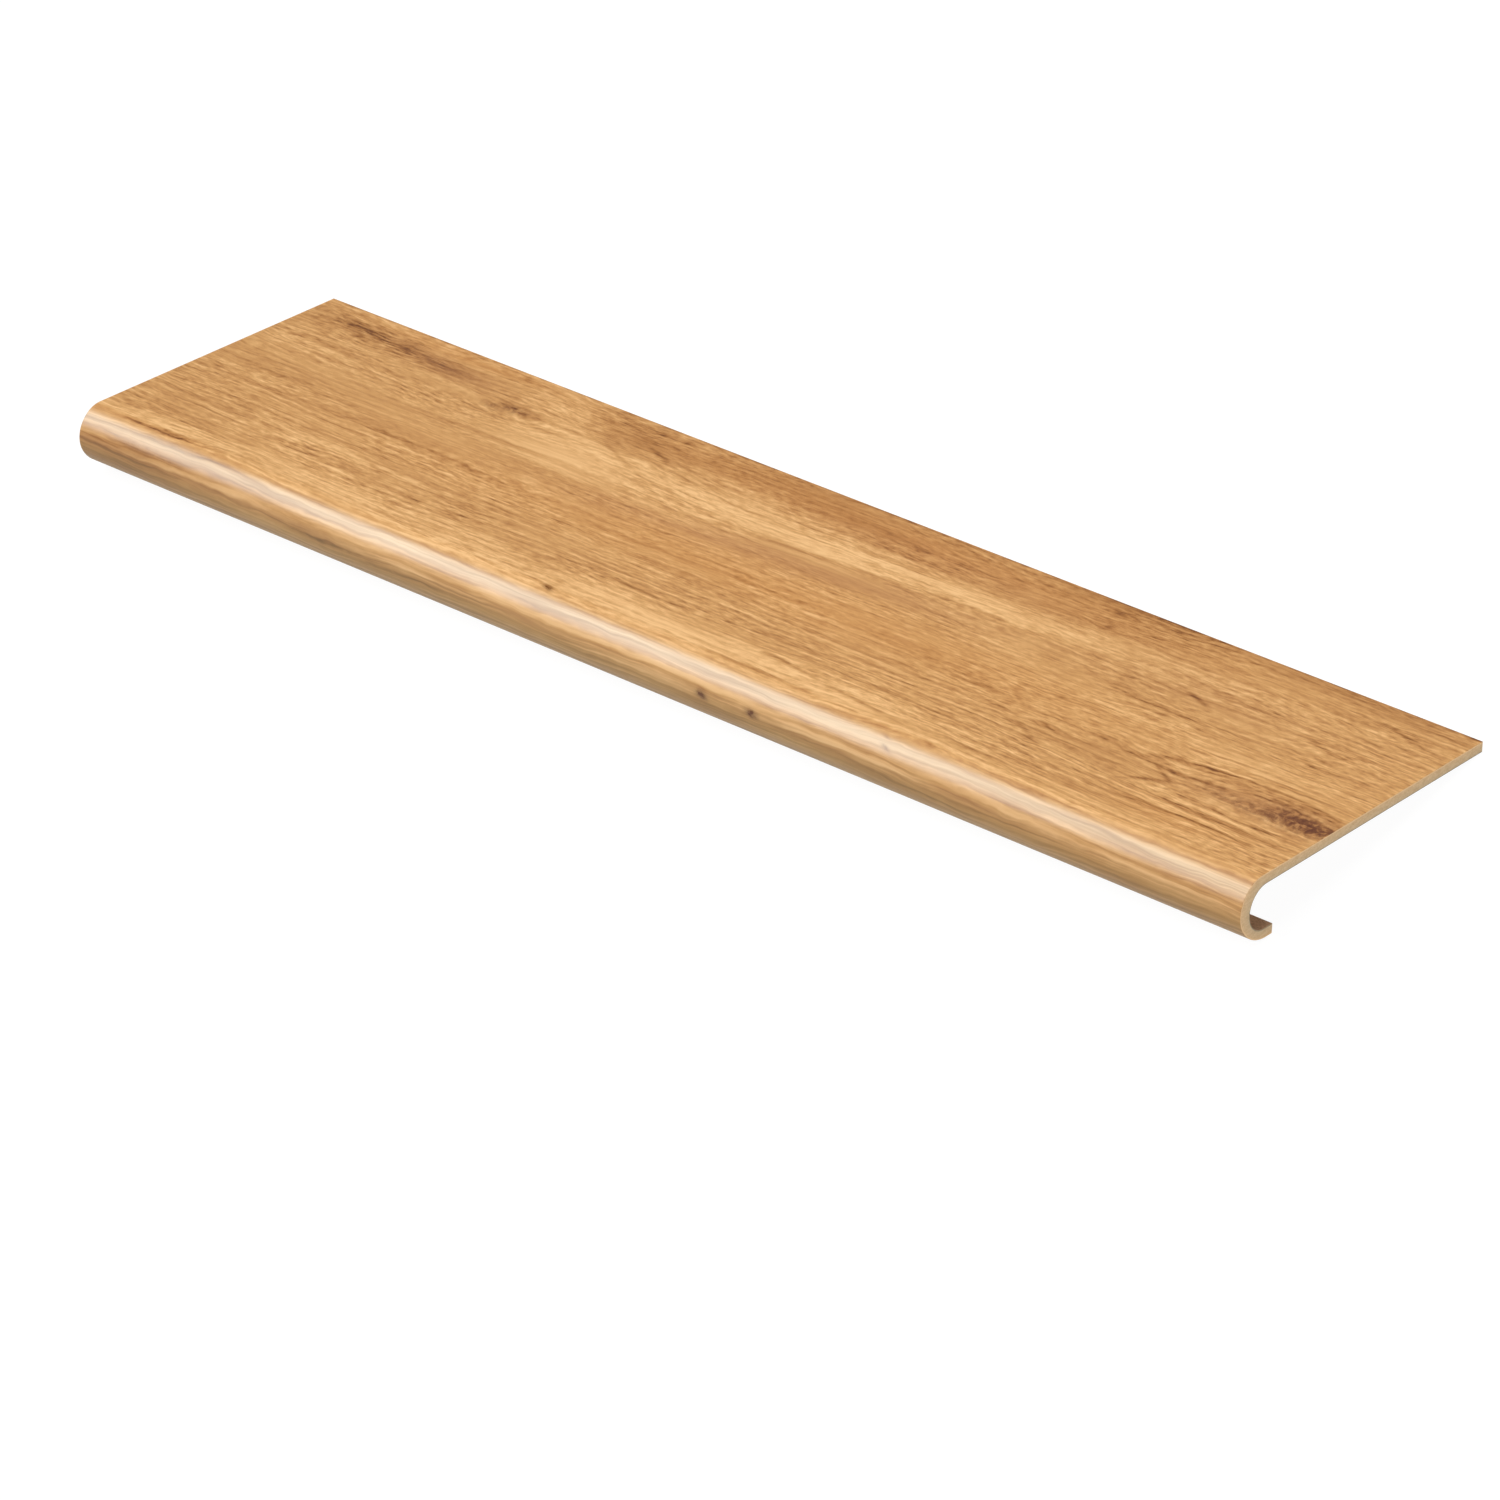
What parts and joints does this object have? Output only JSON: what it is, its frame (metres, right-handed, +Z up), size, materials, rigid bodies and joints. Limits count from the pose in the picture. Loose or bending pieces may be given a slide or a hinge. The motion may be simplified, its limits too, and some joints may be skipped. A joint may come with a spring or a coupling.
{
  "type": "stair tread",
  "caption": "Wood-look laminate stair tread: a flat board whose front rounds over a deep bullnose and is drawn back underneath into a short lip that hooks over the nosing of an existing step.",
  "frame": {"origin": "on the floor, under the middle of the tread's bounding box", "axes": "+X along the length, to the right for a person facing the nose; +Y from the nose to the back edge; +Z up. The tread lies walking face up as it does unheld on a floor, on the heel of its lip and the lower corner of its back edge, so the walking face slopes down to the back by 9.937 degrees about X. Turning the part by +9.937 degrees about X makes it level, as it is fitted."},
  "size_m": [1.1938, 0.308, 0.0581],
  "materials": {
    "laminated_board": "semi-gloss printed laminate on fibreboard"
  },
  "bodies": {
    "root": {"stair_tread": "laminated_board"}
  },
  "joints": []
}
